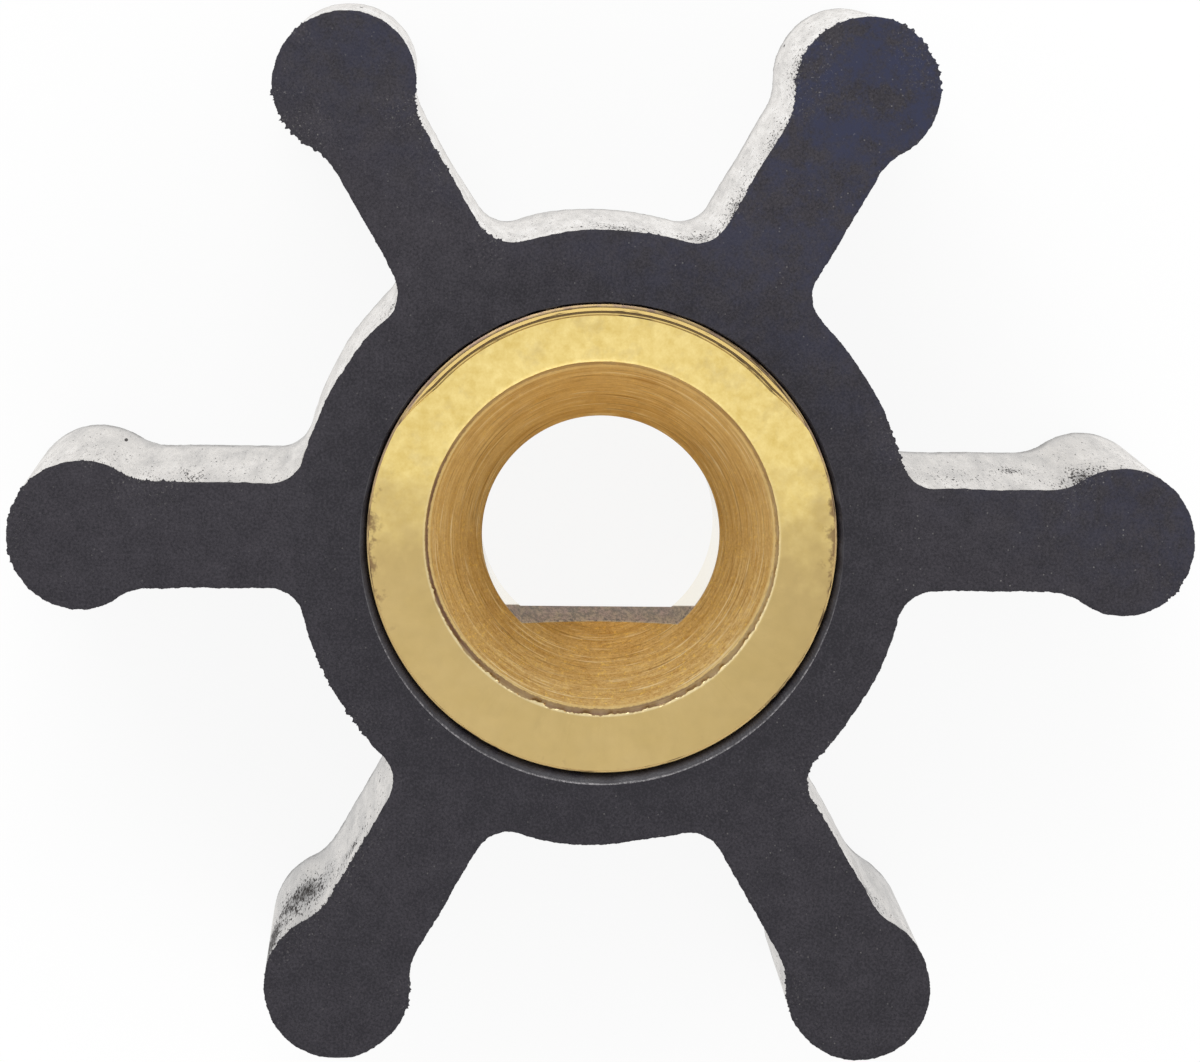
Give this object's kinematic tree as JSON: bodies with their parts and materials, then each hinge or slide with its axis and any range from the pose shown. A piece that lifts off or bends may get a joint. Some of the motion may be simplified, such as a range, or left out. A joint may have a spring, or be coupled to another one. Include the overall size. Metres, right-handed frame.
{
  "type": "pump impeller",
  "caption": "Flexible rubber pump impeller with straight bead-tipped vanes on a hub moulded round a brass insert with a single-flat shaft seat.",
  "frame": {"origin": "centre of the back face, on the shaft axis", "axes": "+Z along the shaft axis out of the front face, +X along one vane, and the flat of the shaft seat on the -Y side"},
  "size_m": [0.04, 0.0352, 0.019],
  "materials": {
    "moulded_rubber": "matte faces, glossier moulded flanks with pale bloom",
    "turned_brass": "satin, turned"
  },
  "bodies": {
    "root": {"rubber_vane_wheel": "moulded_rubber", "brass_insert": "turned_brass"}
  },
  "joints": []
}
